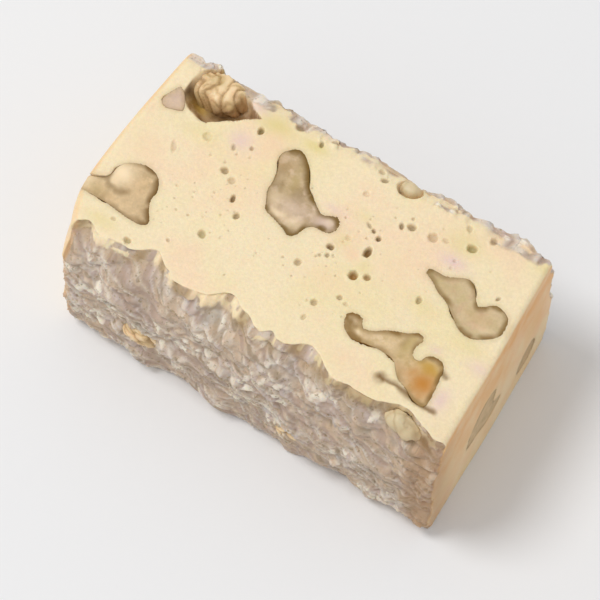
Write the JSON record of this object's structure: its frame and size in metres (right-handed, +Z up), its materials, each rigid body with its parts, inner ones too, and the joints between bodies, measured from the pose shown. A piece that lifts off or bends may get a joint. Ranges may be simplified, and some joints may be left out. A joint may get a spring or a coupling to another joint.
{
  "type": "walnut nougat block",
  "caption": "Rectangular block of pale nougat with sliced walnut pieces in its cut top, rough bulging long flanks and small air bubbles.",
  "frame": {"origin": "middle of the flat underside, under the centre of the block's box", "axes": "+X along the block, towards the browned end; +Y to the back; +Z up"},
  "size_m": [0.0484, 0.028, 0.02],
  "materials": {
    "nougat": "satin, slightly translucent",
    "walnut": "matt, cut nut",
    "walnut_skin": "satin, nut skin"
  },
  "bodies": {
    "root": {"nougat": "nougat", "walnut_back_left_chip": "walnut", "walnut_front_left": "walnut", "walnut_centre": "walnut", "walnut_right": "walnut", "walnut_hook": "walnut", "walnut_end_right": "walnut", "walnut_end_right_low": "walnut", "walnut_end_left": "walnut", "walnut_end_left_low": "walnut", "walnut_back_left": "walnut_skin", "walnut_back_edge": "walnut_skin", "walnut_front_rim": "walnut_skin", "walnut_front_low_left": "walnut_skin", "walnut_front_low_right": "walnut_skin", "walnut_back_high": "walnut_skin", "walnut_back_low": "walnut_skin"}
  },
  "joints": []
}
